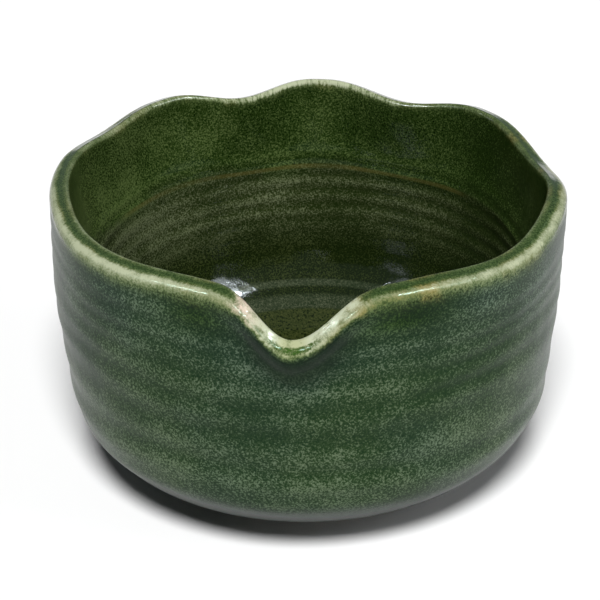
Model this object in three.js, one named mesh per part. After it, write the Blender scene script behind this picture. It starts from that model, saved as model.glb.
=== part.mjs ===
// A wheel-thrown stoneware bowl with a pinched pouring spout: a clay body on a turned foot ring,
// and a coat of glaze inside and outside that meet on top of the scalloped rim.
// Millimetres, +Z up, spout towards -Y. The origin is the middle of the bowl's overall width and
// depth, on the surface that the foot stands on.

import * as THREE from "three";
import { mergeVertices } from "three/addons/utils/BufferGeometryUtils.js";

// ------------------------------------------------------------------ driving dimensions

const BOWL_HEIGHT = 80; // table to the crests of the rim
const RIM_RADIUS = 65; // outside of the rim, before its waves
const RIM_THICKNESS = 5.2; // glaze to glaze
const AXIS_Y = 1.6; // the wheel's axis stands this far behind the origin, because the lip reaches out

// Rim section: a small round edge inside and a larger, lower one outside, with a flat between them.
const INNER_EDGE_RADIUS = 1.1;
const OUTER_EDGE_RADIUS = 2.3;
const OUTER_EDGE_DEPTH = 3.1; // the outer edge's centre lies this far below the crest

// Outlines of the glazed wall, as [radius, height] points of a smooth curve.
const INSIDE_OUTLINE = [
  [0, 13.4], [20, 13.8], [32, 15.6], [40, 19], [44.5, 22.2], [48.2, 25.8], [51, 30.4], [52.8, 36.5],
  [53.6, 44], [54.1, 50.5], [54.8, 57.5], [57.2, 65], [58.9, 72],
];
const OUTSIDE_OUTLINE = [
  [65, 70], [65, 62], [64.7, 50], [62.9, 34], [61.2, 22], [57.6, 15], [51.1, 9], [42, 6.4], [33, 5],
];

// Foot ring, turned from the same clay and left without glaze.
const FOOT_OUTER_RADIUS = 30;
const FOOT_INNER_RADIUS = 25.5;
const FOOT_CHAMFER = 0.6;
const FOOT_TAPER = 1.2; // how much wider the ring is at its root than at the table
const FOOT_ROOT_HEIGHT = 4.6;
const RECESS_HEIGHT = 3.8; // underside of the base, inside the ring

// Glaze, and the gap that keeps the solids of clay and glaze apart.
const GLAZE_THICKNESS = 0.5;
const BOND_GAP = 0.3;

// Waves of the rim: each one bends the wall inwards and lowers the edge. Angles in degrees from +X.
const RIM_WAVES = [
  { angle: 13, inward: 1.4, drop: 2.5, halfWidth: 24 },
  { angle: 62.5, inward: 3.2, drop: 2.7, halfWidth: 22 },
  { angle: 107, inward: 3.5, drop: 2.8, halfWidth: 19 },
  { angle: 148, inward: 1.6, drop: 0.9, halfWidth: 19 },
  { angle: 216, inward: -1.7, drop: 0.4, halfWidth: 30 },
  { angle: 321, inward: 0, drop: 2.1, halfWidth: 26 },
];
const RIM_OVAL = { angle: -37, amount: 1.1 }; // the rim is a little longer this way
const RIM_LEAN = { x: 0.4, y: -0.8 }; // and a little off the foot's centre

// Pouring spout: a V-shaped dip with its lip pulled outwards, steeper on its left.
const SPOUT = { angle: 266.3, leftWidth: 19.3, rightWidth: 23.7, drop: 12.6, pull: 2.55 };
const SPOUT_SHARPNESS = 1.7; // power that narrows the dip from a plain hump to a V
const SPOUT_PULL_SPREAD = 1.3; // the pull reaches this much wider than the dip
const LIP_THINNING = 0.15; // share of the wall's thickness that the lip loses
const LIP_SLOPE = 0.2; // slope outwards and down that the lip's flat gains

// How far below the crests each movement starts from nothing, and where it is complete.
const WAVE_BEND = { start: 28, full: 3 };
const WAVE_DROP = { start: 32, full: 4 };
const SPOUT_DROP = { start: 34, full: 6 };
const SPOUT_PULL = { start: 14, full: 3.5 };
const LIP_SHAPE = { start: 10, full: 4 };

// Facets
const SEGMENTS = 64; // round the bowl
const CROWDING = 0.35; // the segments crowd together at the spout by this share
const WALL_STEPS = 11; // along each outline
const EDGE_STEPS = 3; // round each edge of the rim

// ------------------------------------------------------------------ rim and spout

const { degToRad, smoothstep } = THREE.MathUtils;

// 1 at the centre angle, falling smoothly to 0 at the half-widths before and after it.
function hump(angle, centre, widthBefore, widthAfter = widthBefore) {
  const turn = Math.PI * 2;
  const away = ((((angle - degToRad(centre) + Math.PI) % turn) + turn) % turn) - Math.PI;
  const share = away / degToRad(away < 0 ? widthBefore : widthAfter);
  return Math.abs(share) < 1 ? Math.cos((share * Math.PI) / 2) ** 2 : 0;
}

// Share of a movement at a height: 0 at its start depth and 1 where it is full.
function reach(height, { start, full }) {
  return smoothstep(height, BOWL_HEIGHT - start, BOWL_HEIGHT - full);
}

function rimWave(angle) {
  const oval = RIM_OVAL.amount * Math.cos(2 * (angle - degToRad(RIM_OVAL.angle)));
  const wave = { outward: oval + RIM_LEAN.x * Math.cos(angle) + RIM_LEAN.y * Math.sin(angle), drop: 0 };
  for (const { angle: centre, inward, drop, halfWidth } of RIM_WAVES) {
    const share = hump(angle, centre, halfWidth);
    wave.outward -= inward * share;
    wave.drop += drop * share;
  }
  return wave;
}

// Moves a point of the plain round bowl to its place on the waved and spouted one.
function shaped(radius, height, angle) {
  const wave = rimWave(angle);
  const dip = hump(angle, SPOUT.angle, SPOUT.leftWidth, SPOUT.rightWidth) ** SPOUT_SHARPNESS;
  const pull = hump(
    angle,
    SPOUT.angle,
    SPOUT.leftWidth * SPOUT_PULL_SPREAD,
    SPOUT.rightWidth * SPOUT_PULL_SPREAD,
  );
  const lip = dip * reach(height, LIP_SHAPE);
  const fromMiddle = radius - (RIM_RADIUS - RIM_THICKNESS / 2);
  const shapedRadius =
    radius -
    LIP_THINNING * lip * fromMiddle +
    wave.outward * reach(height, WAVE_BEND) +
    SPOUT.pull * pull * reach(height, SPOUT_PULL);
  const shapedHeight =
    height -
    LIP_SLOPE * lip * fromMiddle -
    wave.drop * reach(height, WAVE_DROP) -
    SPOUT.drop * dip * reach(height, SPOUT_DROP);
  return new THREE.Vector3(
    shapedRadius * Math.cos(angle),
    shapedRadius * Math.sin(angle),
    shapedHeight,
  );
}

// ------------------------------------------------------------------ section of the wall

const vector = ([radius, height]) => new THREE.Vector2(radius, height);

function arc(centre, radius, fromDegrees, toDegrees) {
  const points = [];
  for (let step = 0; step <= EDGE_STEPS; step += 1) {
    const angle = degToRad(fromDegrees + ((toDegrees - fromDegrees) * step) / EDGE_STEPS);
    points.push(
      new THREE.Vector2(centre.x + radius * Math.cos(angle), centre.y + radius * Math.sin(angle)),
    );
  }
  return points;
}

const innerEdgeCentre = new THREE.Vector2(
  RIM_RADIUS - RIM_THICKNESS + INNER_EDGE_RADIUS,
  BOWL_HEIGHT - INNER_EDGE_RADIUS,
);
const outerEdgeCentre = new THREE.Vector2(
  RIM_RADIUS - OUTER_EDGE_RADIUS,
  BOWL_HEIGHT - OUTER_EDGE_DEPTH,
);

// Direction, in degrees, of the normal of the flat that touches both edges of the rim.
function flatNormal() {
  const across = outerEdgeCentre.clone().sub(innerEdgeCentre);
  const slope = Math.asin((OUTER_EDGE_RADIUS - INNER_EDGE_RADIUS) / across.length());
  return THREE.MathUtils.radToDeg(Math.atan2(across.y, across.x) + slope) + 90;
}

// From the middle of the floor, up the inside and on to the flat of the rim.
function insideLine() {
  const wall = new THREE.SplineCurve(INSIDE_OUTLINE.map(vector)).getSpacedPoints(WALL_STEPS);
  return [...wall, ...arc(innerEdgeCentre, INNER_EDGE_RADIUS, 180, flatNormal())];
}

// From the flat of the rim, down the outside to the foot.
function outsideLine() {
  const wall = new THREE.SplineCurve(OUTSIDE_OUTLINE.map(vector)).getSpacedPoints(WALL_STEPS);
  return [...arc(outerEdgeCentre, OUTER_EDGE_RADIUS, flatNormal(), 0), ...wall];
}

// The same line, moved into the clay, which lies on its right. A point on the axis stays on it.
function sunk(line, depth) {
  return line.map((point, index) => {
    const before = line[Math.max(index - 1, 0)];
    const after = line[Math.min(index + 1, line.length - 1)];
    const along = after.clone().sub(before).normalize();
    const radius = point.x === 0 ? 0 : point.x + along.y * depth;
    return new THREE.Vector2(radius, point.y - along.x * depth);
  });
}

// ------------------------------------------------------------------ solids

// Turns an outline about the wheel's axis, with the rim's waves and the spout. Each four-cornered
// facet is split along its shorter diagonal, so that facets of clay and glaze lie side by side.
function thrown(outline) {
  const rows = outline.length;
  const corners = [];
  for (let segment = 0; segment < SEGMENTS; segment += 1) {
    const turn = (segment / SEGMENTS) * Math.PI * 2;
    const angle = degToRad(SPOUT.angle) + turn - CROWDING * Math.sin(turn);
    for (const { x: radius, y: height } of outline) {
      corners.push(shaped(radius, height, angle));
    }
  }
  const faces = [];
  for (let segment = 0; segment < SEGMENTS; segment += 1) {
    for (let row = 0; row < rows - 1; row += 1) {
      const here = segment * rows + row;
      const beside = ((segment + 1) % SEGMENTS) * rows + row;
      const shorterHere =
        corners[here].distanceTo(corners[beside + 1]) < corners[beside].distanceTo(corners[here + 1]);
      faces.push(
        ...(shorterHere
          ? [here, beside + 1, beside, here, here + 1, beside + 1]
          : [here, here + 1, beside, beside, here + 1, beside + 1]),
      );
    }
  }
  const solid = new THREE.BufferGeometry().setFromPoints(corners).setIndex(faces);
  const closed = mergeVertices(solid);
  closed.computeVertexNormals();
  return closed;
}

function coatOutline(line) {
  return [...line, ...sunk(line, GLAZE_THICKNESS).reverse()];
}

function bodyOutline() {
  const wall = sunk([...insideLine(), ...outsideLine()], GLAZE_THICKNESS + BOND_GAP);
  const root = FOOT_OUTER_RADIUS + FOOT_TAPER;
  const foot = [
    [root, FOOT_ROOT_HEIGHT],
    [FOOT_OUTER_RADIUS + FOOT_CHAMFER / 2, FOOT_CHAMFER],
    [FOOT_OUTER_RADIUS - FOOT_CHAMFER / 2, 0],
    [FOOT_INNER_RADIUS + FOOT_CHAMFER / 2, 0],
    [FOOT_INNER_RADIUS - FOOT_CHAMFER / 2, FOOT_CHAMFER],
    [FOOT_INNER_RADIUS - FOOT_TAPER, RECESS_HEIGHT],
    [0, RECESS_HEIGHT],
  ];
  return [...wall, ...foot.map(vector)];
}

function innerGlazeOutline() {
  const line = insideLine();
  const flatStart = line.at(-1);
  const seam = flatStart.clone().lerp(outsideLine()[0], 0.5);
  const shortOfSeam = seam.clone().sub(flatStart).setLength(BOND_GAP);
  return coatOutline([...line, seam.sub(shortOfSeam)]);
}

function outerGlazeOutline() {
  const line = outsideLine();
  const seam = insideLine().at(-1).lerp(line[0], 0.5);
  const outline = coatOutline([seam, ...line]);
  return [...outline, outline[0]];
}

// ------------------------------------------------------------------ assembly

function clay() {
  return new THREE.MeshStandardMaterial({ color: 0xb9a283, roughness: 0.85, metalness: 0 });
}

function glaze(color) {
  return new THREE.MeshStandardMaterial({ color, roughness: 0.2, metalness: 0 });
}

function piece(name, outline, material) {
  const mesh = new THREE.Mesh(thrown(outline), material);
  mesh.name = name;
  return mesh;
}

const bowl = new THREE.Group();
bowl.name = "spouted_bowl";
bowl.position.y = AXIS_Y;
bowl.add(
  piece("stoneware_body", bodyOutline(), clay()),
  piece("inner_glaze", innerGlazeOutline(), glaze(0x3a4426)),
  piece("outer_glaze", outerGlazeOutline(), glaze(0x3f5a41)),
);

export default bowl;
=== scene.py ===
import math

import bmesh
import bpy
import numpy as np
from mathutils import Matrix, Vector


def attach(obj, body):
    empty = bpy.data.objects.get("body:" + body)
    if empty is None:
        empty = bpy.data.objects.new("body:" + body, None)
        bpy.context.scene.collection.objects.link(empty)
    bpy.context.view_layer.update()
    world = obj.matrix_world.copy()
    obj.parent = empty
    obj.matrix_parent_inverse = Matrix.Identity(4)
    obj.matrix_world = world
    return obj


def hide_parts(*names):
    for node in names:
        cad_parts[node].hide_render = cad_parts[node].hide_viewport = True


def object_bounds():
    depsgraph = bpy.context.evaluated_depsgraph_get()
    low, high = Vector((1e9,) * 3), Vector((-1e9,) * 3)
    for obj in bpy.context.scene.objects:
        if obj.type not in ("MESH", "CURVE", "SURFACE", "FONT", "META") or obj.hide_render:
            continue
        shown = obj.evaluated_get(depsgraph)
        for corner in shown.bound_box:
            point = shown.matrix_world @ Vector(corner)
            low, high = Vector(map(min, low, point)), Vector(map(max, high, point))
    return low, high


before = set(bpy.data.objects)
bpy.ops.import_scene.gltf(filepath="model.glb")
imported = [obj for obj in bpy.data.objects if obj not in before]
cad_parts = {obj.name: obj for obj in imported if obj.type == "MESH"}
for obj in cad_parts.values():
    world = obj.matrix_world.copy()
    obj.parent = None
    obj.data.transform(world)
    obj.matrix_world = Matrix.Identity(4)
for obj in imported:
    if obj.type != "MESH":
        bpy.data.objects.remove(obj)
cad_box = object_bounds()

# A spouted stoneware bowl: fine meshes for its two coats of glaze and its clay body, with
# throwing rings, and their materials. The bowl's lengths are in millimetres until MM turns them
# into metres, and its shape is the CAD's own, sampled finely. Lights and camera are in metres.

MM = 0.001

# ------------------------------------------------------------------ dimensions, as in the CAD

BOWL_HEIGHT = 80.0
RIM_RADIUS = 65.0
RIM_THICKNESS = 5.2
AXIS_Y = 1.6
INNER_EDGE_RADIUS = 1.1
OUTER_EDGE_RADIUS = 2.3
OUTER_EDGE_DEPTH = 3.1
INSIDE_OUTLINE = [
    (0, 13.4), (20, 13.8), (32, 15.6), (40, 19), (44.5, 22.2), (48.2, 25.8), (51, 30.4),
    (52.8, 36.5), (53.6, 44), (54.1, 50.5), (54.8, 57.5), (57.2, 65), (58.9, 72),
]
OUTSIDE_OUTLINE = [
    (65, 70), (65, 62), (64.7, 50), (62.9, 34), (61.2, 22), (57.6, 15), (51.1, 9), (42, 6.4),
    (33, 5),
]
FOOT_OUTER_RADIUS = 30.0
FOOT_INNER_RADIUS = 25.5
FOOT_TAPER = 1.2
FOOT_ROOT_HEIGHT = 4.6
FOOT_EDGE_RADIUS = 0.6
RECESS_HEIGHT = 3.8
GLAZE_THICKNESS = 0.5

# Waves of the rim: angle in degrees from +X, inward bend, drop and half-width in degrees.
RIM_WAVES = [
    (13, 1.4, 2.5, 24),
    (62.5, 3.2, 2.7, 22),
    (107, 3.5, 2.8, 19),
    (148, 1.6, 0.9, 19),
    (216, -1.7, 0.4, 30),
    (321, 0, 2.1, 26),
]
RIM_OVAL_ANGLE = -37.0
RIM_OVAL_AMOUNT = 1.1
RIM_LEAN_X = 0.4
RIM_LEAN_Y = -0.8

SPOUT_ANGLE = 266.3
SPOUT_LEFT_WIDTH = 19.3
SPOUT_RIGHT_WIDTH = 23.7
SPOUT_SHARPNESS = 1.7
SPOUT_DROP = 12.6
SPOUT_PULL = 2.55
SPOUT_PULL_SPREAD = 1.3
LIP_THINNING = 0.15
LIP_SLOPE = 0.2

# Depths below the crests at which each movement starts from nothing, and is complete.
WAVE_BEND_REACH = (28, 3)
WAVE_DROP_REACH = (32, 4)
SPOUT_DROP_REACH = (34, 6)
SPOUT_PULL_REACH = (14, 3.5)
LIP_SHAPE_REACH = (10, 4)

# ------------------------------------------------------------------ relief that the CAD leaves out

# Heights of the crests of the outer throwing spiral, where it passes below the spout.
OUTER_CRESTS = (7, 16, 24.5, 34.5, 45.5, 53.5, 59.5, 65, 71, 77)
OUTER_RELIEF = 0.14
# How far the rings wander from even spacing, in turns.
OUTER_SWAY = 0.14
INNER_SWAY = 0.08
# The angle at the front, where the outer crests have the heights above.
FRONT_ANGLE = 270
# Heights between which the outer rings grow fainter upwards, and fade out below the spout.
OUTER_CALM = (46, 60)
# Heights between which the outer rings start above the foot, and end below the rim.
OUTER_RINGS_START = (7, 18)
OUTER_RINGS_END = (69, 75)
INNER_RING_HEIGHT = 57.5
INNER_RING_PITCH = 4.4
# Heights between which the inner rings deepen upwards, and between which they end.
INNER_RINGS_DEEPEN = (36, 44)
INNER_RINGS_END = (56, 66)
FLOOR_EDGE_HEIGHT = 19.8
FLOOR_RING_PITCH = 7.5
INNER_RELIEF = 0.10
# The small step at the top ring: its height out of the wall, and its width below and above.
INNER_STEP = 0.18
STEP_BELOW = 1.2
STEP_ABOVE = 1.0
TURNING_PITCH = 1.7
TURNING_RELIEF = 0.07

# The hollow that the potter's finger leaves under the spout: depth, place and half-width.
SPOUT_HOLLOW = 0.8
SPOUT_HOLLOW_HEIGHT = 72.3
SPOUT_HOLLOW_WIDTH = 3.2

# ------------------------------------------------------------------ where the glaze is thin or thick

# Where each kind of glaze lies round the bowl: a base value, and humps given as the angle in
# degrees from +X, amount and half-width.
GLAZE_ARCS = {
    # How far the glaze has drawn back from the rim's edges, and where it broke ochre instead.
    "pale": (0.55, [(220, 0.40, 60), (140, 0.25, 45), (325, 0.25, 45), (88, 0.9, 34)]),
    "ochre": (0, [(288, 0.9, 20), (15, 0.6, 40), (252, 0.3, 10)]),
    # Where it has run off the rim's flat too, at the back.
    "bare_flat": (0, [(95, 1.0, 95)]),
    # A spot at the bottom of the lip where it stayed, and one on the lip's side with a pink blush.
    "lip_patch": (0, [(267, 1.0, 8)]),
    "pink": (0, [(254, 1.0, 7.5)]),
    # Where it is thickest and darkest below the rim: either side of the spout, and under it, where
    # the darkness is partly painted shade under the lip.
    "deep_glaze_and_shade": (0, [(246, 0.95, 15), (266.6, 0.6, 14), (290, 1.0, 21)]),
    # Where it is thick and dark inside, partly painted shade on the side away from the light, and
    # (below zero) where it is thin and mottled, partly painted light on the side that faces it.
    "thick_glaze_and_shade": (0, [(30, 1.0, 62), (165, -1.0, 60)]),
}

# ------------------------------------------------------------------ mesh resolution

COLUMNS = 400
# Columns stand closer together at the spout, and further apart opposite it, by this share.
CROWDING = 0.25
# Distances between rows of points, on each stretch of the section.
WALL_ROW = 0.55
EDGE_ROW = 0.28
FOOT_ROW = 0.5
FOOT_EDGE_ROW = 0.15
RECESS_ROW = 0.8
CURVE_STEPS = 60
BONDED_ROWS = 42
COVERED_CLAY_ROWS = 90
SHARP_EDGE_DEGREES = 55


def smoothstep(value, low, high):
    share = np.clip((value - low) / (high - low), 0, 1)
    return share * share * (3 - 2 * share)


def hump(angle, centre, width_before, width_after=None):
    """1 at the centre angle, falling smoothly to 0 at the half-widths before and after it."""
    width_after = width_before if width_after is None else width_after
    away = (np.degrees(angle) - centre + 180) % 360 - 180
    share = np.where(away < 0, away / width_before, away / width_after)
    return np.where(np.abs(share) < 1, np.cos(share * np.pi / 2) ** 2, 0)


def reach(height, depths):
    start, full = depths
    return smoothstep(height, BOWL_HEIGHT - start, BOWL_HEIGHT - full)


def dip_share(angle):
    return hump(angle, SPOUT_ANGLE, SPOUT_LEFT_WIDTH, SPOUT_RIGHT_WIDTH) ** SPOUT_SHARPNESS


def pull_share(angle):
    spread = SPOUT_PULL_SPREAD
    return hump(angle, SPOUT_ANGLE, SPOUT_LEFT_WIDTH * spread, SPOUT_RIGHT_WIDTH * spread)


def arcs(angle, base, humps):
    """A base value with humps on it, each given as its angle, amount and half-width."""
    return base + sum(amount * hump(angle, centre, width) for centre, amount, width in humps)


def rim_wave(angle):
    """How far the rim stands out from its circle, and how far it drops, at an angle."""
    outward = RIM_OVAL_AMOUNT * np.cos(2 * (angle - np.radians(RIM_OVAL_ANGLE)))
    outward = outward + RIM_LEAN_X * np.cos(angle) + RIM_LEAN_Y * np.sin(angle)
    drop = np.zeros_like(angle)
    for centre, inward, wave_drop, half_width in RIM_WAVES:
        share = hump(angle, centre, half_width)
        outward = outward - inward * share
        drop = drop + wave_drop * share
    return outward, drop


def shaped(radius, height, angle):
    """Moves points of the plain round bowl to their place on the waved and spouted one."""
    outward, drop = rim_wave(angle)
    dip = dip_share(angle)
    pull = pull_share(angle)
    lip = dip * reach(height, LIP_SHAPE_REACH)
    from_middle = radius - (RIM_RADIUS - RIM_THICKNESS / 2)
    hollow = np.exp(-(((height - SPOUT_HOLLOW_HEIGHT) / SPOUT_HOLLOW_WIDTH) ** 2))
    hollow = hollow * (radius > RIM_RADIUS - OUTER_EDGE_RADIUS)
    new_radius = (
        radius
        - LIP_THINNING * lip * from_middle
        + outward * reach(height, WAVE_BEND_REACH)
        + SPOUT_PULL * pull * reach(height, SPOUT_PULL_REACH)
        - SPOUT_HOLLOW * pull * hollow
    )
    new_height = (
        height
        - LIP_SLOPE * lip * from_middle
        - drop * reach(height, WAVE_DROP_REACH)
        - SPOUT_DROP * dip * reach(height, SPOUT_DROP_REACH)
    )
    return np.stack(
        [new_radius * np.cos(angle), new_radius * np.sin(angle) + AXIS_Y, new_height], axis=-1
    )


# ------------------------------------------------------------------ section of the wall


def smooth_curve(points, spacing):
    """A uniform Catmull-Rom curve through the points, cut into even steps."""
    points = np.array(points, float)
    padded = np.vstack([points[0], points, points[-1]])
    fine = []
    for index in range(len(points) - 1):
        before, start, end, after = padded[index : index + 4]
        for share in np.linspace(0, 1, CURVE_STEPS, endpoint=False):
            tangent_start = 0.5 * (end - before)
            tangent_end = 0.5 * (after - start)
            cubic = 2 * start - 2 * end + tangent_start + tangent_end
            square = -3 * start + 3 * end - 2 * tangent_start - tangent_end
            fine.append(cubic * share**3 + square * share**2 + tangent_start * share + start)
    fine.append(points[-1])
    return even(np.array(fine), spacing)


def even(line, spacing):
    """The same line with its points at even distances."""
    steps = np.linalg.norm(np.diff(line, axis=0), axis=1)
    along = np.concatenate([[0], np.cumsum(steps)])
    count = max(2, int(round(along[-1] / spacing)) + 1)
    wanted = np.linspace(0, along[-1], count)
    return np.stack([np.interp(wanted, along, line[:, axis]) for axis in (0, 1)], axis=-1)


def arc(centre, radius, from_degrees, to_degrees, spacing):
    length = radius * math.radians(abs(to_degrees - from_degrees))
    count = max(3, int(round(length / spacing)) + 1)
    angles = np.radians(np.linspace(from_degrees, to_degrees, count))
    return np.array(centre) + radius * np.stack([np.cos(angles), np.sin(angles)], axis=-1)


INNER_EDGE_CENTRE = (
    RIM_RADIUS - RIM_THICKNESS + INNER_EDGE_RADIUS,
    BOWL_HEIGHT - INNER_EDGE_RADIUS,
)
OUTER_EDGE_CENTRE = (RIM_RADIUS - OUTER_EDGE_RADIUS, BOWL_HEIGHT - OUTER_EDGE_DEPTH)


def flat_normal():
    """Direction, in degrees, of the normal of the flat that touches both edges of the rim."""
    across = np.subtract(OUTER_EDGE_CENTRE, INNER_EDGE_CENTRE)
    slope = math.asin((OUTER_EDGE_RADIUS - INNER_EDGE_RADIUS) / np.linalg.norm(across))
    return math.degrees(math.atan2(across[1], across[0]) + slope) + 90


def joined(*lines):
    """Lines end to end, without the points that they share."""
    whole = np.vstack(lines)
    keep = np.linalg.norm(np.diff(whole, axis=0), axis=1) > 1e-6
    return whole[np.concatenate([[True], keep])]


def line_between(start, end, spacing):
    return even(np.array([start, end], float), spacing)


def inside_and_outside():
    """The glazed line inside and outside, each from the seam on the rim's flat."""
    normal = flat_normal()
    inner_edge = arc(INNER_EDGE_CENTRE, INNER_EDGE_RADIUS, normal, 180, EDGE_ROW)
    outer_edge = arc(OUTER_EDGE_CENTRE, OUTER_EDGE_RADIUS, normal, 0, EDGE_ROW)
    seam = (inner_edge[0] + outer_edge[0]) / 2
    inner_wall = smooth_curve([inner_edge[-1], *INSIDE_OUTLINE[::-1]], WALL_ROW)
    outer_wall = smooth_curve([outer_edge[-1], *OUTSIDE_OUTLINE], WALL_ROW)
    inside = joined(line_between(seam, inner_edge[0], EDGE_ROW), inner_edge, inner_wall)
    outside = joined(line_between(seam, outer_edge[0], EDGE_ROW), outer_edge, outer_wall)
    return inside, outside


def normals(line, clay_side):
    """Unit normals out of the clay, for a line with the clay on its left (1) or right (-1)."""
    along = np.gradient(line, axis=0)
    along /= np.linalg.norm(along, axis=1)[:, None]
    out = clay_side * np.stack([along[:, 1], -along[:, 0]], axis=-1)
    out[line[:, 0] < 1e-9, 0] = 0
    return out


def distance_along(line):
    steps = np.linalg.norm(np.diff(line, axis=0), axis=1)
    return np.concatenate([[0], np.cumsum(steps)])


# ------------------------------------------------------------------ throwing rings


def waviness(angle, height, seed, count=9):
    """Smooth uneven values between about -1 and 1 that repeat once round the bowl."""
    numbers = np.random.default_rng(seed)
    total = np.zeros(np.broadcast(angle, height).shape)
    for _ in range(count):
        turns = numbers.integers(1, 9)
        wave_length = numbers.uniform(14, 60)
        phase = numbers.uniform(0, 2 * np.pi, 2)
        round_it = np.sin(turns * angle + phase[0])
        up_it = np.sin(2 * np.pi * height / wave_length + phase[1])
        total += round_it * up_it
    return total / math.sqrt(count)


def outer_rings(radius, height, angle):
    """Relief of the outer throwing spiral: -1 in its grooves and 1 on its crests."""
    turn = (np.degrees(angle) - FRONT_ANGLE + 180) % 360 - 180
    level = height - SPOUT_DROP * dip_share(angle) * reach(height, SPOUT_DROP_REACH)
    count = np.interp(level, OUTER_CRESTS, np.arange(len(OUTER_CRESTS)))
    sway = OUTER_SWAY * waviness(angle, height, seed=3)
    return np.cos(2 * np.pi * (count + turn / 360 + sway))


def outer_relief(radius, height, angle):
    calm = smoothstep(height, *OUTER_CALM)
    strength = 0.45 + 0.55 * (1 - calm)
    strength = strength * smoothstep(height, *OUTER_RINGS_START)
    strength = strength * (1 - smoothstep(height, *OUTER_RINGS_END))
    strength = strength * (1 + 0.5 * waviness(angle, height, seed=4))
    strength = strength * (1 - 0.9 * pull_share(angle) * calm)
    return OUTER_RELIEF * strength * outer_rings(radius, height, angle)


def inner_rings(radius, height, angle):
    """Relief of the inner throwing spiral, deepest high on the wall, and of rings on the floor."""
    turn = np.degrees(angle) / 360
    sway = INNER_SWAY * waviness(angle, height, seed=5)
    wall = np.cos(2 * np.pi * ((height - INNER_RING_HEIGHT) / INNER_RING_PITCH + turn + sway))
    wall = wall * (0.3 + 0.7 * smoothstep(height, *INNER_RINGS_DEEPEN))
    wall = wall * (1 - smoothstep(height, *INNER_RINGS_END))
    floor = 0.5 * np.cos(2 * np.pi * (radius / FLOOR_RING_PITCH - turn + sway))
    on_wall = smoothstep(height, FLOOR_EDGE_HEIGHT - 2, FLOOR_EDGE_HEIGHT)
    rings = wall * on_wall + floor * (1 - on_wall)
    return rings * (1 + 0.4 * waviness(angle, height, seed=6))


def inner_relief(radius, height, angle):
    strength = smoothstep(radius, 4, 14)
    step = INNER_STEP * smoothstep(height, INNER_RING_HEIGHT - STEP_BELOW, INNER_RING_HEIGHT)
    step = step * (1 - smoothstep(height, INNER_RING_HEIGHT, INNER_RING_HEIGHT + STEP_ABOVE))
    return INNER_RELIEF * strength * inner_rings(radius, height, angle) + step


# ------------------------------------------------------------------ meshes


def column_angles():
    turn = np.arange(COLUMNS) / COLUMNS * 2 * np.pi
    return math.radians(SPOUT_ANGLE) + turn - CROWDING * np.sin(turn)


def swept(line, out, relief):
    """Sweeps a section round the wheel's axis, lifted along its normals by the relief."""
    angle = column_angles()[None, :]
    radius = line[:, 0][:, None]
    height = line[:, 1][:, None]
    lift = relief(radius, height, angle) if relief else np.zeros((len(line), COLUMNS))
    lifted_radius = radius + lift * out[:, 0][:, None]
    lifted_height = height + lift * out[:, 1][:, None]
    angle = np.broadcast_to(angle, lifted_radius.shape)
    return shaped(lifted_radius, lifted_height, angle)


class FitToFrame:
    """Scales the fine shape by the small share that brings it into the CAD's own box."""

    def __init__(self, *grids):
        points = np.vstack([grid.reshape(-1, 3) for grid in grids])
        low, high = points.min(0), points.max(0)
        cad_low = np.array(cad_box[0]) / MM
        cad_high = np.array(cad_box[1]) / MM
        self.scale = (cad_high - cad_low) / (high - low)
        self.shift = cad_low - low * self.scale

    def __call__(self, points):
        return (points * self.scale + self.shift) * MM


def grid_mesh(name, grid, attributes, closed_loop, flip):
    """A mesh from rows of points round the axis. Rows at the axis become a single point."""
    rows, columns = grid.shape[:2]
    index = np.arange(rows * columns).reshape(rows, columns)
    for row in range(rows):
        if np.ptp(grid[row], axis=0).max() < 1e-7:
            index[row, :] = index[row, 0]
    below = np.roll(index, -1, axis=0) if closed_loop else index[1:]
    here = index if closed_loop else index[:-1]
    quads = np.stack(
        [here, np.roll(here, -1, axis=1), np.roll(below, -1, axis=1), below], axis=-1
    ).reshape(-1, 4)
    if flip:
        quads = quads[:, ::-1]
    faces = [list(dict.fromkeys(quad)) for quad in quads.tolist()]
    mesh = bpy.data.meshes.new(name)
    mesh.from_pydata(grid.reshape(-1, 3).tolist(), [], [f for f in faces if len(f) > 2])
    for key, values in attributes.items():
        layer = mesh.attributes.new(key, "FLOAT", "POINT")
        layer.data.foreach_set("value", values.astype(np.float32).ravel())
    mesh.validate()
    mesh.shade_smooth()
    return mesh


def remove_loose(mesh):
    work = bmesh.new()
    work.from_mesh(mesh)
    bmesh.ops.delete(work, geom=[v for v in work.verts if not v.link_faces], context="VERTS")
    work.to_mesh(mesh)
    work.free()


def add(made):
    """Puts an object into the scene."""
    bpy.context.scene.collection.objects.link(made)
    return made


def piece(name, mesh, material, node):
    """Makes an object of a mesh, which stands for a CAD node."""
    mesh.materials.append(material)
    remove_loose(mesh)
    mesh.set_sharp_from_angle(angle=math.radians(SHARP_EDGE_DEGREES))
    made = add(bpy.data.objects.new(name, mesh))
    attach(made, "root")
    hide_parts(node)


def thinned(line, count):
    """The same line with only some of its points, evenly picked."""
    chosen = np.unique(np.linspace(0, len(line) - 1, count).round().astype(int))
    return line[chosen]


def coat(line, clay_side, relief, rings):
    """A closed coat's visible rows, its bonded rows back to the start, and its attributes."""
    bonded_line = thinned(line, BONDED_ROWS)
    out = normals(line, clay_side)
    bonded_out = normals(bonded_line, clay_side)
    visible = swept(line, out, relief)
    bonded = swept(bonded_line - bonded_out * GLAZE_THICKNESS, bonded_out, None)[::-1]
    run = np.concatenate([distance_along(line), distance_along(bonded_line)[::-1]])
    height = np.concatenate([line[:, 1], bonded_line[::-1, 1]])
    crest = rings(line[:, 0][:, None], line[:, 1][:, None], column_angles()[None, :])
    return visible, bonded, coat_attributes(run * -clay_side, height, crest)


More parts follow.
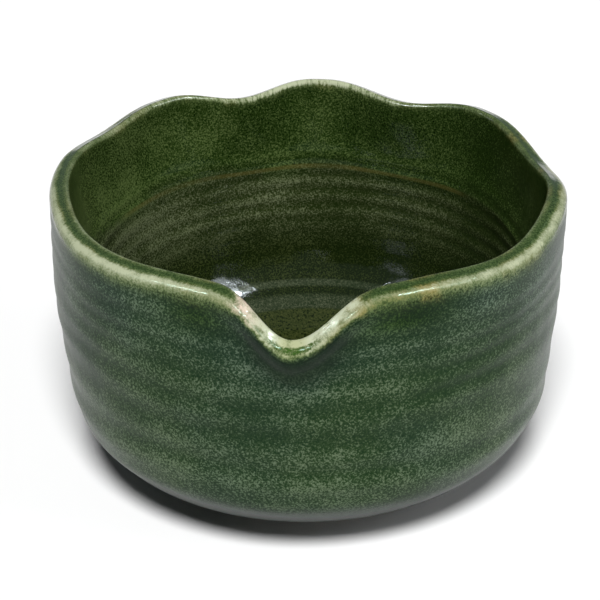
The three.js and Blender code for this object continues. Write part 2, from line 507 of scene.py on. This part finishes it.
def coat_attributes(run, height, crest):
    """Values that colour the glaze, at each point of a coat.

    run is the distance from the seam on the rim, below zero inside the bowl, and crest is 1 on
    the crests of the throwing rings. The bonded rows, which nobody sees, have a crest of 0.
    """
    angle = column_angles()[None, :]
    values = {
        "run": run[:, None] * MM,
        "crest": np.vstack([crest, np.zeros((len(run) - len(crest), COLUMNS))]),
        "dip": dip_share(angle),
        "rise": height[:, None] * MM,
    }
    for name, (base, humps) in GLAZE_ARCS.items():
        values[name] = arcs(angle, base, humps)
    shape = (len(run), COLUMNS)
    return {name: np.broadcast_to(value, shape) for name, value in values.items()}


# ------------------------------------------------------------------ shader helper


class Shader:
    """Adds nodes to a new material. Each method returns the socket that holds its result."""

    def __init__(self, name):
        self.material = bpy.data.materials.new(name)
        self.material.use_nodes = True
        self.tree = self.material.node_tree
        self.tree.nodes.clear()

    def put(self, socket, value):
        if isinstance(value, bpy.types.NodeSocket):
            self.tree.links.new(value, socket)
        elif socket.type == "RGBA" and len(value) == 3:
            socket.default_value = (*value, 1)
        else:
            socket.default_value = value

    def node(self, kind, inputs=(), **settings):
        made = self.tree.nodes.new(kind)
        for key, value in settings.items():
            setattr(made, key, value)
        for key, value in dict(inputs).items():
            self.put(made.inputs[key], value)
        return made

    def place(self):
        return self.node("ShaderNodeTexCoord").outputs["Object"]

    def attribute(self, name):
        return self.node("ShaderNodeAttribute", attribute_name=name).outputs["Fac"]

    def math(self, operation, first, second=0.0, third=0.0):
        made = self.node("ShaderNodeMath", {0: first, 1: second, 2: third}, operation=operation)
        return made.outputs[0]

    def vector(self, operation, first, second=(0, 0, 0)):
        made = self.node("ShaderNodeVectorMath", {0: first, 1: second}, operation=operation)
        return made.outputs[0]

    def scale(self, vector, amount):
        made = self.node("ShaderNodeVectorMath", {0: vector, "Scale": amount}, operation="SCALE")
        return made.outputs[0]

    def ramp(self, value, stops):
        """A colour ramp, given as a list of positions from 0 to 1 and their colours."""
        made = self.node("ShaderNodeValToRGB", {"Fac": value})
        elements = made.color_ramp.elements
        while len(elements) < len(stops):
            elements.new(0.5)
        for element, (position, colour) in zip(elements, stops):
            element.position = position
            element.color = (*colour, 1)
        return made.outputs[0]

    def profile(self, distance, stops):
        """A value along a distance, given as a list of millimetres and values."""
        low, high = stops[0][0], stops[-1][0]
        inputs = {0: distance, 1: low * MM, 2: high * MM}
        share = self.node("ShaderNodeMapRange", inputs).outputs[0]
        grey = [((place - low) / (high - low), (value,) * 3) for place, value in stops]
        return self.ramp(share, grey)

    def mix_value(self, first, second, share):
        made = self.node("ShaderNodeMix", {0: share, 2: first, 3: second}, data_type="FLOAT")
        return made.outputs[0]

    def noise(self, where, scale, detail, roughness):
        inputs = {"Vector": where, "Scale": scale, "Detail": detail, "Roughness": roughness}
        return self.node("ShaderNodeTexNoise", inputs).outputs[0]

    def noise_vector(self, where, scale):
        return self.node("ShaderNodeTexNoise", {"Vector": where, "Scale": scale}).outputs["Color"]

    def step(self, value, low, high, start=0.0, end=1.0):
        """Goes smoothly from start to end as the value goes from low to high."""
        inputs = {"Value": value, 1: low, 2: high, 3: start, 4: end}
        made = self.node("ShaderNodeMapRange", inputs, interpolation_type="SMOOTHSTEP")
        return made.outputs[0]

    def mix(self, first, second, share):
        made = self.node("ShaderNodeMix", data_type="RGBA", clamp_factor=True)
        self.put(made.inputs[0], share)
        self.put(made.inputs[6], first)
        self.put(made.inputs[7], second)
        return made.outputs[2]

    def bump(self, height, distance, strength=1.0, normal=None):
        inputs = {"Height": height, "Distance": distance, "Strength": strength}
        if normal is not None:
            inputs["Normal"] = normal
        return self.node("ShaderNodeBump", inputs).outputs[0]

    def finish(self, colour, roughness, normal, **fixed):
        surface = self.node("ShaderNodeBsdfPrincipled")
        self.put(surface.inputs["Base Color"], colour)
        self.put(surface.inputs["Roughness"], roughness)
        self.put(surface.inputs["Normal"], normal)
        for key, value in fixed.items():
            surface.inputs[key.replace("_", " ")].default_value = value
        output = self.node("ShaderNodeOutputMaterial")
        self.tree.links.new(surface.outputs[0], output.inputs[0])
        return self.material


# ------------------------------------------------------------------ glaze colours


def srgb(*levels):
    """Linear colour from levels of 0 to 255 as a screen shows them."""
    shares = [level / 255 for level in levels]
    return tuple(s / 12.92 if s <= 0.04045 else ((s + 0.055) / 1.055) ** 2.4 for s in shares)


OUTER_GREENS = [(0.0, srgb(14, 36, 9)), (0.5, srgb(33, 53, 23)), (1.0, srgb(86, 100, 76))]
OUTER_SLATES = [(0.0, srgb(12, 32, 18)), (0.5, srgb(29, 48, 32)), (1.0, srgb(84, 100, 84))]
OUTER_DEEP = [(0.0, srgb(5, 22, 1)), (0.5, srgb(15, 35, 3)), (1.0, srgb(46, 68, 24))]
# Painted shade: a dark green low on the outside, where the wall turns under the bowl.
UNDERSIDE_PAINTED_SHADE = srgb(18, 28, 21)
# Dark green for the pooled glaze and painted shade under the spout's lip.
UNDER_LIP_POOL_AND_SHADE = srgb(4, 20, 5)
UPPER_GREENS = [(0.0, srgb(16, 31, 5)), (0.5, srgb(32, 48, 15)), (1.0, srgb(74, 89, 48))]
RING_GREYS = [(0.0, srgb(24, 36, 11)), (0.5, srgb(45, 54, 27)), (1.0, srgb(94, 102, 74))]
LOW_OLIVES = [(0.0, srgb(13, 23, 5)), (0.5, srgb(21, 30, 8)), (1.0, srgb(46, 54, 26))]
# Painted sheen: lighter greys for the bands where the inside curves into the floor.
SHEEN_GREYS = [(0.0, srgb(26, 38, 18)), (0.5, srgb(48, 56, 38)), (1.0, srgb(78, 84, 64))]
FLOOR_OLIVES = [(0.0, srgb(10, 20, 2)), (0.5, srgb(38, 46, 18)), (1.0, srgb(70, 74, 40))]
RING_BROWN = srgb(92, 84, 40)
RIM_GREEN = srgb(31, 51, 18)
RIM_FLECK = srgb(67, 87, 48)
MOSS = srgb(84, 98, 58)
GREEN_GLOSS = (0.72, 0.95, 0.82, 1)
CREAM = srgb(162, 168, 140)
PALE_GREEN = srgb(180, 186, 160)
LIP_YELLOW = srgb(136, 138, 78)
LIP_MOSS = srgb(58, 88, 30)
PINK = srgb(206, 184, 170)
OCHRE = srgb(134, 116, 62)
CLAY_BUFF = (0.50, 0.38, 0.25)
CLAY_TOASTED = (0.33, 0.20, 0.11)
CLAY_SAND = (0.16, 0.10, 0.06)

# Gloss and roughness of the glaze: outside, the rim is smoother than the wall.
OUTER_GLOSS = 0.14
INNER_GLOSS = 0.3
RIM_ROUGHNESS = 0.06
WALL_ROUGHNESS = 0.34
INNER_ROUGHNESS = 0.08

# Outside, the heights between which the painted shade of the underside gives way to the wall's
# colour.
PAINTED_SHADE_TO_WALL = (13, 21)

# How fine the felt of flecks is: waves to a metre.
OUTER_FIBRES = 1950
INNER_FIBRES = 2300

# The middle of the spot where the glaze stayed on the lip, from the seam on the rim's flat.
LIP_PATCH_RUN = 1.35

# Inside: heights and half-widths of the bands of painted sheen above the floor and of the brown
# ring, and the heights between which the colours change.
SHEEN_BANDS = [(20.8, 1.9), (24.5, 1.0)]
BROWN_RING = (56.6, 0.9)
LOW_TO_RINGS = (32, 46)
RINGS_TO_UPPER = (53, 60)
FLOOR_COLOUR_EDGE = 0.5

# Profiles of the glaze by the distance in millimetres from the seam on the rim's flat: negative
# distances are inside the bowl. Three say how far the glaze is thinned, over the rim, over its
# bare back and over the spout's lip. The others are how much pale fleck the outside has, and
# how dark it is under the lip, where pooled glaze and painted shade darken it.
RIM_THINNING = [
    (-5.0, 0.00),
    (-3.8, 0.12),
    (-2.6, 0.42),
    (-1.9, 0.46),
    (-1.2, 0.24),
    (-0.6, 0.08),
    (0.0, 0.10),
    (0.6, 0.36),
    (1.2, 0.76),
    (1.8, 0.92),
    (2.4, 0.82),
    (3.0, 0.60),
    (4.0, 0.36),
    (5.5, 0.17),
    (8.0, 0.0),
]
FLECK_BY_RUN = [(4, 0.16), (16, 0.19), (31, 0.08), (39, 0.13), (49, 0.25), (60, 0.28)]
UNDER_LIP_SHADE = [(3.0, 0.0), (4.4, 0.85), (8.0, 0.8), (13.0, 0.55), (22.0, 0.0)]
FLAT_THINNING = [
    (-6.0, 0.0),
    (-4.4, 0.12),
    (-3.5, 0.30),
    (-2.9, 0.75),
    (-1.8, 0.95),
    (-0.4, 0.75),
    (0.8, 0.45),
    (1.6, 0.60),
    (2.1, 0.80),
    (2.7, 0.40),
    (3.6, 0.15),
    (4.8, 0.08),
    (7.0, 0.0),
]
LIP_THINNING_OF_GLAZE = [
    (-5.0, 0.0),
    (-4.0, 0.10),
    (-3.2, 0.55),
    (-2.4, 0.95),
    (-1.0, 1.05),
    (0.2, 1.0),
    (1.0, 0.80),
    (1.8, 0.66),
    (2.6, 0.66),
    (3.1, 0.45),
    (3.6, 0.2),
    (4.8, 0.0),
]


def streaks(shader, place, run, scale, detail=3.0, roughness=0.65):
    """Noise that is fine round the rim and drawn out down the glaze's run."""
    flat_place = shader.vector("MULTIPLY", place, (1, 1, 0))
    around = shader.scale(shader.vector("NORMALIZE", flat_place), RIM_RADIUS * MM)
    down = shader.node("ShaderNodeCombineXYZ", {"Z": shader.math("MULTIPLY", run, 0.25)})
    where = shader.vector("ADD", around, down.outputs[0])
    return shader.noise(where, scale, detail, roughness)


def streaked_run(shader, place, run):
    """Distance from the rim's seam, roughened so that colours end in short streaks along it."""
    fine = shader.math("SUBTRACT", streaks(shader, place, run, 1300), 0.5)
    broad = shader.math("SUBTRACT", streaks(shader, place, run, 160, 2, 0.5), 0.5)
    push = shader.math("MULTIPLY_ADD", fine, 1.5 * MM, shader.math("MULTIPLY", broad, 0.9 * MM))
    return shader.math("ADD", run, push)


def warped(shader, place, scale, amount):
    push = shader.vector("SUBTRACT", shader.noise_vector(place, scale), (0.5, 0.5, 0.5))
    return shader.vector("ADD", place, shader.scale(push, amount))


def fibres(shader, place, scale):
    """A fine felt of curled flecks, in even values around one half."""
    curled = warped(shader, place, scale * 0.55, 1.6 / scale)
    return shader.noise(curled, scale, 2.5, 0.62)


def outer_body_colour(shader, place, run, rise, crest, grain):
    """Deep green with a fibrous pale fleck, more of it on the ridges and lower down but less at the
    very bottom, with pooled glaze and painted shade under the spout's lip and painted shade at the
    bottom.
    """
    clouds = shader.noise(place, 62, 3, 0.6)
    amount = shader.step(grain, 0.29, 0.71)
    amount = shader.math("MULTIPLY_ADD", crest, 0.09, amount)
    amount = shader.math("ADD", amount, shader.step(clouds, 0.3, 0.7, -0.34, -0.06))
    amount = shader.math("ADD", amount, shader.profile(run, FLECK_BY_RUN))
    # Painted shade: fewer pale flecks at the very bottom of the outside.
    amount = shader.math("ADD", amount, shader.step(rise, 9 * MM, 15 * MM, -0.45, 0))
    patches = shader.step(shader.noise(place, 38, 2, 0.5), 0.36, 0.62)
    green = shader.step(run, 10 * MM, 30 * MM, 0.1, 0.6)
    green = shader.math("MULTIPLY_ADD", patches, 0.4, green)
    green = shader.math("MULTIPLY", green, shader.step(rise, 10 * MM, 19 * MM))
    body = shader.mix(shader.ramp(amount, OUTER_SLATES), shader.ramp(amount, OUTER_GREENS), green)
    # Darker thick glaze near the top either side of the spout; under the spout this darkening is
    # partly painted shade.
    near_top = shader.step(run, 9 * MM, 17 * MM, 1, 0)
    deep_glaze_and_shade = shader.math("MULTIPLY", shader.attribute("deep_glaze_and_shade"), near_top)
    body = shader.mix(body, shader.ramp(amount, OUTER_DEEP), deep_glaze_and_shade)
    # Pooled glaze and painted shade under the spout's lip.
    lip_pool_and_shade = shader.profile(run, UNDER_LIP_SHADE)
    lip_pool_and_shade = shader.math("MULTIPLY", lip_pool_and_shade, shader.step(shader.attribute("dip"), 0.05, 0.6))
    body = shader.mix(body, UNDER_LIP_POOL_AND_SHADE, lip_pool_and_shade)
    # Painted shade where the outside turns under the bowl.
    low, high = PAINTED_SHADE_TO_WALL
    return shader.mix(body, UNDERSIDE_PAINTED_SHADE, shader.step(rise, low * MM, high * MM, 0.93, 0))


def patch_on_lip(shader, run, grain):
    """How much of the spot of thick glaze lies here."""
    away = shader.math("ABSOLUTE", shader.math("SUBTRACT", run, LIP_PATCH_RUN * MM))
    patch = shader.step(away, 0.4 * MM, 1.3 * MM, 1, 0)
    patch = shader.math("MULTIPLY", patch, shader.attribute("lip_patch"))
    return shader.math("MULTIPLY", patch, shader.step(grain, 0.3, 0.62, 1.05, 0.4))


def rim_thinning(shader, place, streaked, radial):
    """How thin the glaze is on the rim, and on its bare back."""
    thin = shader.profile(streaked, RIM_THINNING)
    back = shader.profile(streaked, FLAT_THINNING)
    back = shader.math("MULTIPLY", back, shader.math("MULTIPLY_ADD", radial, 0.5, 0.42))
    thin = shader.mix_value(thin, back, shader.attribute("bare_flat"))
    thin = shader.math("MULTIPLY", thin, shader.attribute("pale"))
    blotch = shader.step(shader.noise(place, 210, 3, 0.6), 0.3, 0.7, 0.72, 1.05)
    return shader.math("MULTIPLY", thin, shader.math("MULTIPLY", blotch, 1.25))


def lip_thinning(shader, place, streaked, patch):
    """How thin the glaze is on the spout's lip."""
    thin = shader.profile(streaked, LIP_THINNING_OF_GLAZE)
    thin = shader.math("SUBTRACT", thin, patch)
    mottle = shader.step(shader.noise(place, 420, 4, 0.65), 0.36, 0.62, 0.62, 1.08)
    return shader.math("MULTIPLY", thin, mottle)


def thin_glaze_colour(shader, run, lip):
    """Cream where the glaze is thinnest: ochre in places, and yellow and pink on the lip."""
    cream = shader.mix(CREAM, PALE_GREEN, shader.math("MULTIPLY", lip, 0.7))
    bottom = shader.step(shader.attribute("dip"), 0.86, 1.0, 0, 0.45)
    cream = shader.mix(cream, LIP_YELLOW, bottom)
    below = shader.step(run, 0.5 * MM, 3.4 * MM)
    bare = shader.mix(cream, OCHRE, shader.math("MULTIPLY", shader.attribute("ochre"), below))
    return shader.mix(bare, PINK, shader.math("MULTIPLY", lip, shader.attribute("pink")))


def rim_ground_colour(shader, body, streaked, grain, radial, patch):
    """The glaze that stays on the rim's flat, and the spot of it on the lip, over the body's."""
    flat = shader.step(shader.math("ABSOLUTE", streaked), 1.2 * MM, 2.6 * MM, 1, 0)
    speckled = shader.step(grain, 0.3, 0.7, 0, 0.8)
    fleck = shader.mix_value(speckled, radial, shader.attribute("bare_flat"))
    flat_colour = shader.mix(RIM_GREEN, RIM_FLECK, fleck)
    ground = shader.mix(body, flat_colour, shader.math("MULTIPLY", flat, 0.7))
    return shader.mix(ground, LIP_MOSS, shader.math("MULTIPLY", patch, 0.9))


def fringe_colour(shader, place):
    """Moss, partly ochre, between the thin glaze and the thick."""
    rusty = shader.step(shader.noise(place, 90, 3, 0.6), 0.48, 0.66)
    share = shader.math("MULTIPLY_ADD", shader.attribute("ochre"), 0.6, 0.15)
    return shader.mix(MOSS, OCHRE, shader.math("MULTIPLY", rusty, share))


def rim_colour(shader, body, place, run, grain):
    """The body's colour, drawn off the edges of the rim and the whole of the spout's lip."""
    streaked = streaked_run(shader, place, run)
    radial = shader.step(streaks(shader, place, run, 1500), 0.34, 0.66)
    patch = patch_on_lip(shader, run, grain)
    lip = shader.step(shader.attribute("dip"), 0.03, 0.25)
    on_rim = rim_thinning(shader, place, streaked, radial)
    on_lip = lip_thinning(shader, place, streaked, patch)
    thin = shader.mix_value(on_rim, on_lip, lip)
    speckle = shader.step(grain, 0.3, 0.7, -0.12, 0.12)
    thin = shader.math("ADD", thin, shader.math("MULTIPLY", speckle, shader.step(thin, 0, 0.3)))
    ground = rim_ground_colour(shader, body, streaked, grain, radial, patch)
    edge = shader.mix(ground, fringe_colour(shader, place), shader.step(thin, 0.02, 0.5))
    return shader.mix(edge, thin_glaze_colour(shader, run, lip), shader.step(thin, 0.25, 1.0))


def outer_glaze_material():
    shader = Shader("outer_glaze")
    place = shader.place()
    run = shader.attribute("run")
    rise = shader.attribute("rise")
    grain = fibres(shader, place, OUTER_FIBRES)
    body = outer_body_colour(shader, place, run, rise, shader.attribute("crest"), grain)
    colour = rim_colour(shader, body, place, run, grain)
    bumped = shader.bump(shader.noise(place, 130, 2, 0.5), 0.35 * MM, 0.5)
    bumped = shader.bump(grain, 0.05 * MM, 0.5, bumped)
    roughness = shader.step(run, 2.5 * MM, 6 * MM, RIM_ROUGHNESS, WALL_ROUGHNESS)
    return shader.finish(
        colour, roughness, bumped, Specular_IOR_Level=OUTER_GLOSS, Specular_Tint=GREEN_GLOSS
    )


def band_at_height(shader, rise, middle, half_width):
    """1 on a ring at a height in millimetres, falling to 0 at its half-width."""
    away = shader.math("ABSOLUTE", shader.math("SUBTRACT", rise, middle * MM))
    return shader.step(away, 0.35 * half_width * MM, half_width * MM, 1, 0)


def by_height(shader, rise, heights):
    """0 below the first of two heights in millimetres, and 1 above the second."""
    low, high = heights
    return shader.step(rise, low * MM, high * MM)


def inner_body_colour(shader, place, rise, crest, grain):
    """Dark green above, greyer on the throwing rings, bands of painted sheen just above a speckled
    olive pool on the floor, and darker on one side, partly thick glaze and partly painted shade.
    """
    clouds = shader.step(shader.noise(place, 55, 3, 0.6), 0.3, 0.7, -0.16, 0.16)
    amount = shader.math("ADD", shader.step(grain, 0.28, 0.74), clouds)
    # Thicker darker glaze on one side inside, partly painted shade, and thinner lighter glaze,
    # partly painted light, on the other.
    amount = shader.math("MULTIPLY_ADD", shader.attribute("thick_glaze_and_shade"), -0.2, amount)
    ringed = shader.math("MULTIPLY_ADD", crest, 0.12, amount)
    upper, rings, low = (
        shader.ramp(ringed, colours) for colours in (UPPER_GREENS, RING_GREYS, LOW_OLIVES)
    )
    lower = shader.mix(low, rings, by_height(shader, rise, LOW_TO_RINGS))
    # Painted sheen on bands where the wall curves into the floor.
    first, second = (band_at_height(shader, rise, *place_and_width) for place_and_width in SHEEN_BANDS)
    on_sheen_band = shader.math("MULTIPLY", shader.math("MAXIMUM", first, second), 0.8)
    lower = shader.mix(lower, shader.ramp(amount, SHEEN_GREYS), on_sheen_band)
    uneven_rise = shader.math("ADD", rise, shader.step(clouds, -0.16, 0.16, -2 * MM, 2 * MM))
    body = shader.mix(lower, upper, by_height(shader, uneven_rise, RINGS_TO_UPPER))
    brown = shader.math("MULTIPLY", band_at_height(shader, rise, *BROWN_RING), 0.38)
    broken = shader.step(shader.noise(place, 26, 1, 0.5), 0.42, 0.58)
    body = shader.mix(body, RING_BROWN, shader.math("MULTIPLY", brown, broken))
    floor_edge = (FLOOR_EDGE_HEIGHT - FLOOR_COLOUR_EDGE, FLOOR_EDGE_HEIGHT)
    above_floor = by_height(shader, rise, floor_edge)
    return shader.mix(floor_colour(shader, place, grain), body, above_floor)


def floor_colour(shader, place, grain):
    """An olive pool of glaze with dark specks."""
    specks = shader.step(shader.noise(place, 1500, 2, 0.5), 0.36, 0.5, -0.35, 0.06)
    return shader.ramp(shader.math("ADD", grain, specks), FLOOR_OLIVES)


def inner_glaze_material():
    shader = Shader("inner_glaze")
    place = shader.place()
    run = shader.attribute("run")
    grain = fibres(shader, place, INNER_FIBRES)
    body = inner_body_colour(
        shader, place, shader.attribute("rise"), shader.attribute("crest"), grain
    )
    colour = rim_colour(shader, body, place, run, grain)
    bumped = shader.bump(shader.noise(place, 160, 2, 0.5), 0.35 * MM, 0.5)
    bumped = shader.bump(grain, 0.04 * MM, 0.5, bumped)
    return shader.finish(colour, INNER_ROUGHNESS, bumped, Specular_IOR_Level=INNER_GLOSS)


def clay_material():
    shader = Shader("bare_clay")
    place = shader.place()
    toast = shader.noise(place, 60, 3, 0.6)
    sand = shader.noise(place, 1500, 3, 0.7)
    colour = shader.mix(CLAY_BUFF, CLAY_TOASTED, shader.step(toast, 0.35, 0.7))
    colour = shader.mix(colour, CLAY_SAND, shader.step(sand, 0.60, 0.72, 0, 0.7))
    bumped = shader.bump(sand, 0.15 * MM, 0.7)
    return shader.finish(colour, 0.85, bumped, Specular_IOR_Level=0.3)


# ------------------------------------------------------------------ the three pieces


def foot_line():
    """From the end of the outer glaze, down the foot ring and across the recess to the axis."""
    root = (FOOT_OUTER_RADIUS + FOOT_TAPER, FOOT_ROOT_HEIGHT)
    edge = FOOT_EDGE_RADIUS
    outer = arc((FOOT_OUTER_RADIUS - edge, edge), edge, 0, -90, FOOT_EDGE_ROW)
    inner = arc((FOOT_INNER_RADIUS + edge, edge), edge, 270, 180, FOOT_EDGE_ROW)
    corner = (FOOT_INNER_RADIUS - FOOT_TAPER, RECESS_HEIGHT)
    return joined(
        line_between(root, outer[0], FOOT_ROW),
        outer,
        line_between(outer[-1], inner[0], FOOT_ROW),
        inner,
        line_between(inner[-1], corner, FOOT_ROW),
        line_between(corner, (0, RECESS_HEIGHT), RECESS_ROW),
    )


def turning_relief(radius, height, angle):
    """Fine grooves that the turning tool leaves in the recess of the foot."""
    groove = np.cos(2 * np.pi * (radius / TURNING_PITCH + np.degrees(angle) / 360))
    inside = 1 - smoothstep(radius, FOOT_INNER_RADIUS - 3, FOOT_INNER_RADIUS - 1.5)
    return TURNING_RELIEF * groove * inside * smoothstep(radius, 1, 5)


def clay_rows(inside, outside):
    """The clay body, just under the glaze down to the foot ring, which is bare."""
    wall = joined(inside[::-1], outside)
    under_glaze = wall - normals(wall, -1) * GLAZE_THICKNESS
    line = joined(thinned(under_glaze, COVERED_CLAY_ROWS), foot_line())
    return swept(line, normals(line, -1), turning_relief)


def make_bowl():
    inside, outside = inside_and_outside()
    inner_visible, inner_bonded, inner_values = coat(inside, 1, inner_relief, inner_rings)
    outer_visible, outer_bonded, outer_values = coat(outside, -1, outer_relief, outer_rings)
    clay = clay_rows(inside, outside)
    fit = FitToFrame(inner_visible, outer_visible, clay)
    inner = fit(np.vstack([inner_visible, inner_bonded]))
    outer = fit(np.vstack([outer_visible, outer_bonded]))
    inner_mesh = grid_mesh("inner_glaze_coat", inner, inner_values, closed_loop=True, flip=False)
    outer_mesh = grid_mesh("outer_glaze_coat", outer, outer_values, closed_loop=True, flip=True)
    clay_mesh = grid_mesh("clay_body", fit(clay), {}, closed_loop=False, flip=True)
    piece("inner_glaze_coat", inner_mesh, inner_glaze_material(), "inner_glaze")
    piece("outer_glaze_coat", outer_mesh, outer_glaze_material(), "outer_glaze")
    piece("clay_body", clay_mesh, clay_material(), "stoneware_body")


# ------------------------------------------------------------------ floor, light and camera

FLOOR_HALF_SIZE = 12.0
FLOOR_TONES = ((0.86, 0.86, 0.86), (0.84, 0.84, 0.84))

# Soft lights that only gloss shows: direction from the bowl, width, height and power in watts.
LIGHT_DISTANCE = 1.3
GLOSS_LIGHTS = {
    "strip_right": ((0.53, -0.28, 0.80), 0.09, 0.28, 13),
    "strip_left": ((-0.59, -0.21, 0.77), 0.07, 0.28, 10),
    "small_right": ((0.76, 0.03, 0.65), 0.04, 0.10, 3.5),
    "small_left": ((-0.82, 0.22, 0.53), 0.03, 0.08, 0.9),
    "panel_right": ((0.78, -0.30, 0.62), 0.5, 0.6, 9),
    "panel_left": ((-0.82, -0.22, 0.60), 0.4, 0.5, 2),
}
GLOSS_LIGHT_COLOUR = (0.86, 0.94, 1.0)
FILL_LIGHT = ((0.86, -0.32, 0.42), 0.7, 0.7, 3.8)

# The key light shines from above and in front. It and the fill light don't show in the gloss.
KEY_DIRECTION = (0.0, 0.595, -0.804)
KEY_STRENGTH = 4.4
KEY_SPREAD_DEGREES = 17

# The backdrop: its colour and strength as the camera, gloss and matt surfaces get it.
SEEN_BACKDROP = ((1, 1, 1, 1), 1.0)
MIRRORED_BACKDROP = ((0.80, 0.95, 1, 1), 0.22)
BACKDROP_LIGHT = ((0.95, 0.99, 1, 1), 0.05)

# The camera: sensor and lens in millimetres, distance in metres, angles in degrees.
SENSOR_WIDTH = 36
LENS = 168.9
NEAREST_SEEN = 0.01
CAMERA_AIM = (-2.0 * MM, AXIS_Y * MM, 44.1 * MM)
CAMERA_DISTANCE = 0.750
CAMERA_ELEVATION = 31.25
CAMERA_ROLL = -1.11


def pale_floor():
    mesh = bpy.data.meshes.new("floor")
    size = FLOOR_HALF_SIZE
    corners = [(-size, -size, 0), (size, -size, 0), (size, size, 0), (-size, size, 0)]
    mesh.from_pydata(corners, [], [(0, 1, 2, 3)])
    shader = Shader("floor")
    place = shader.place()
    tone = shader.mix(*FLOOR_TONES, shader.noise(place, 3, 2, 0.5))
    grain = shader.bump(shader.noise(place, 900, 2, 0.5), 0.02 * MM, 0.2)
    mesh.materials.append(shader.finish(tone, 0.9, grain, Specular_IOR_Level=0.1))
    floor = add(bpy.data.objects.new("floor", mesh))


def soft_light(name, direction, width, height, power):
    """A rectangular light that faces the middle of the bowl from a direction."""
    data = bpy.data.lights.new(name, "AREA")
    data.shape = "RECTANGLE"
    data.size = width
    data.size_y = height
    data.energy = power
    aim = (cad_box[0] + cad_box[1]) / 2
    lamp = bpy.data.objects.new(name, data)
    lamp.location = aim + Vector(direction).normalized() * LIGHT_DISTANCE
    lamp.rotation_euler = (aim - lamp.location).to_track_quat("-Z", "Y").to_euler()
    lamp.visible_camera = False
    return add(lamp)


def key_light():
    data = bpy.data.lights.new("key", "SUN")
    data.energy = KEY_STRENGTH
    data.angle = math.radians(KEY_SPREAD_DEGREES)
    key = bpy.data.objects.new("key", data)
    key.rotation_euler = Vector(KEY_DIRECTION).to_track_quat("-Z", "Y").to_euler()
    key.visible_glossy = False
    add(key)


def backdrop():
    """A plain backdrop, white to the camera and dimmer to the surfaces that it lights."""
    world = bpy.data.worlds.new("studio")
    bpy.context.scene.world = world
    world.use_nodes = True
    nodes = world.node_tree.nodes
    links = world.node_tree.links
    seen = nodes["Background"]
    lighting = nodes.new("ShaderNodeBackground")
    mirrored = nodes.new("ShaderNodeBackground")
    settings = ((seen, SEEN_BACKDROP), (lighting, BACKDROP_LIGHT), (mirrored, MIRRORED_BACKDROP))
    for background, (colour, strength) in settings:
        background.inputs["Color"].default_value = colour
        background.inputs["Strength"].default_value = strength
    path = nodes.new("ShaderNodeLightPath")
    for ray, background in (("Is Glossy Ray", mirrored), ("Is Camera Ray", seen)):
        choose = nodes.new("ShaderNodeMixShader")
        links.new(path.outputs[ray], choose.inputs[0])
        links.new(lighting.outputs[0], choose.inputs[1])
        links.new(background.outputs[0], choose.inputs[2])
        lighting = choose
    links.new(lighting.outputs[0], nodes["World Output"].inputs["Surface"])


def studio():
    for name, light in GLOSS_LIGHTS.items():
        lamp = soft_light(name, *light)
        lamp.visible_diffuse = False
        lamp.data.color = GLOSS_LIGHT_COLOUR
    fill = soft_light("fill_right", *FILL_LIGHT)
    fill.visible_glossy = False
    key_light()
    backdrop()


def camera():
    data = bpy.data.cameras.new("camera")
    data.sensor_width = SENSOR_WIDTH
    data.lens = LENS
    data.clip_start = NEAREST_SEEN
    made = bpy.data.objects.new("camera", data)
    elevation = math.radians(CAMERA_ELEVATION)
    made.location = (
        0,
        AXIS_Y * MM - math.cos(elevation) * CAMERA_DISTANCE,
        math.sin(elevation) * CAMERA_DISTANCE,
    )
    look = (Vector(CAMERA_AIM) - made.location).to_track_quat("-Z", "Y")
    made.rotation_euler = look.to_euler()
    made.rotation_euler.rotate_axis("Z", math.radians(CAMERA_ROLL))
    bpy.context.scene.camera = add(made)


make_bowl()
pale_floor()
studio()
camera()
bpy.context.scene.view_settings.view_transform = "Standard"
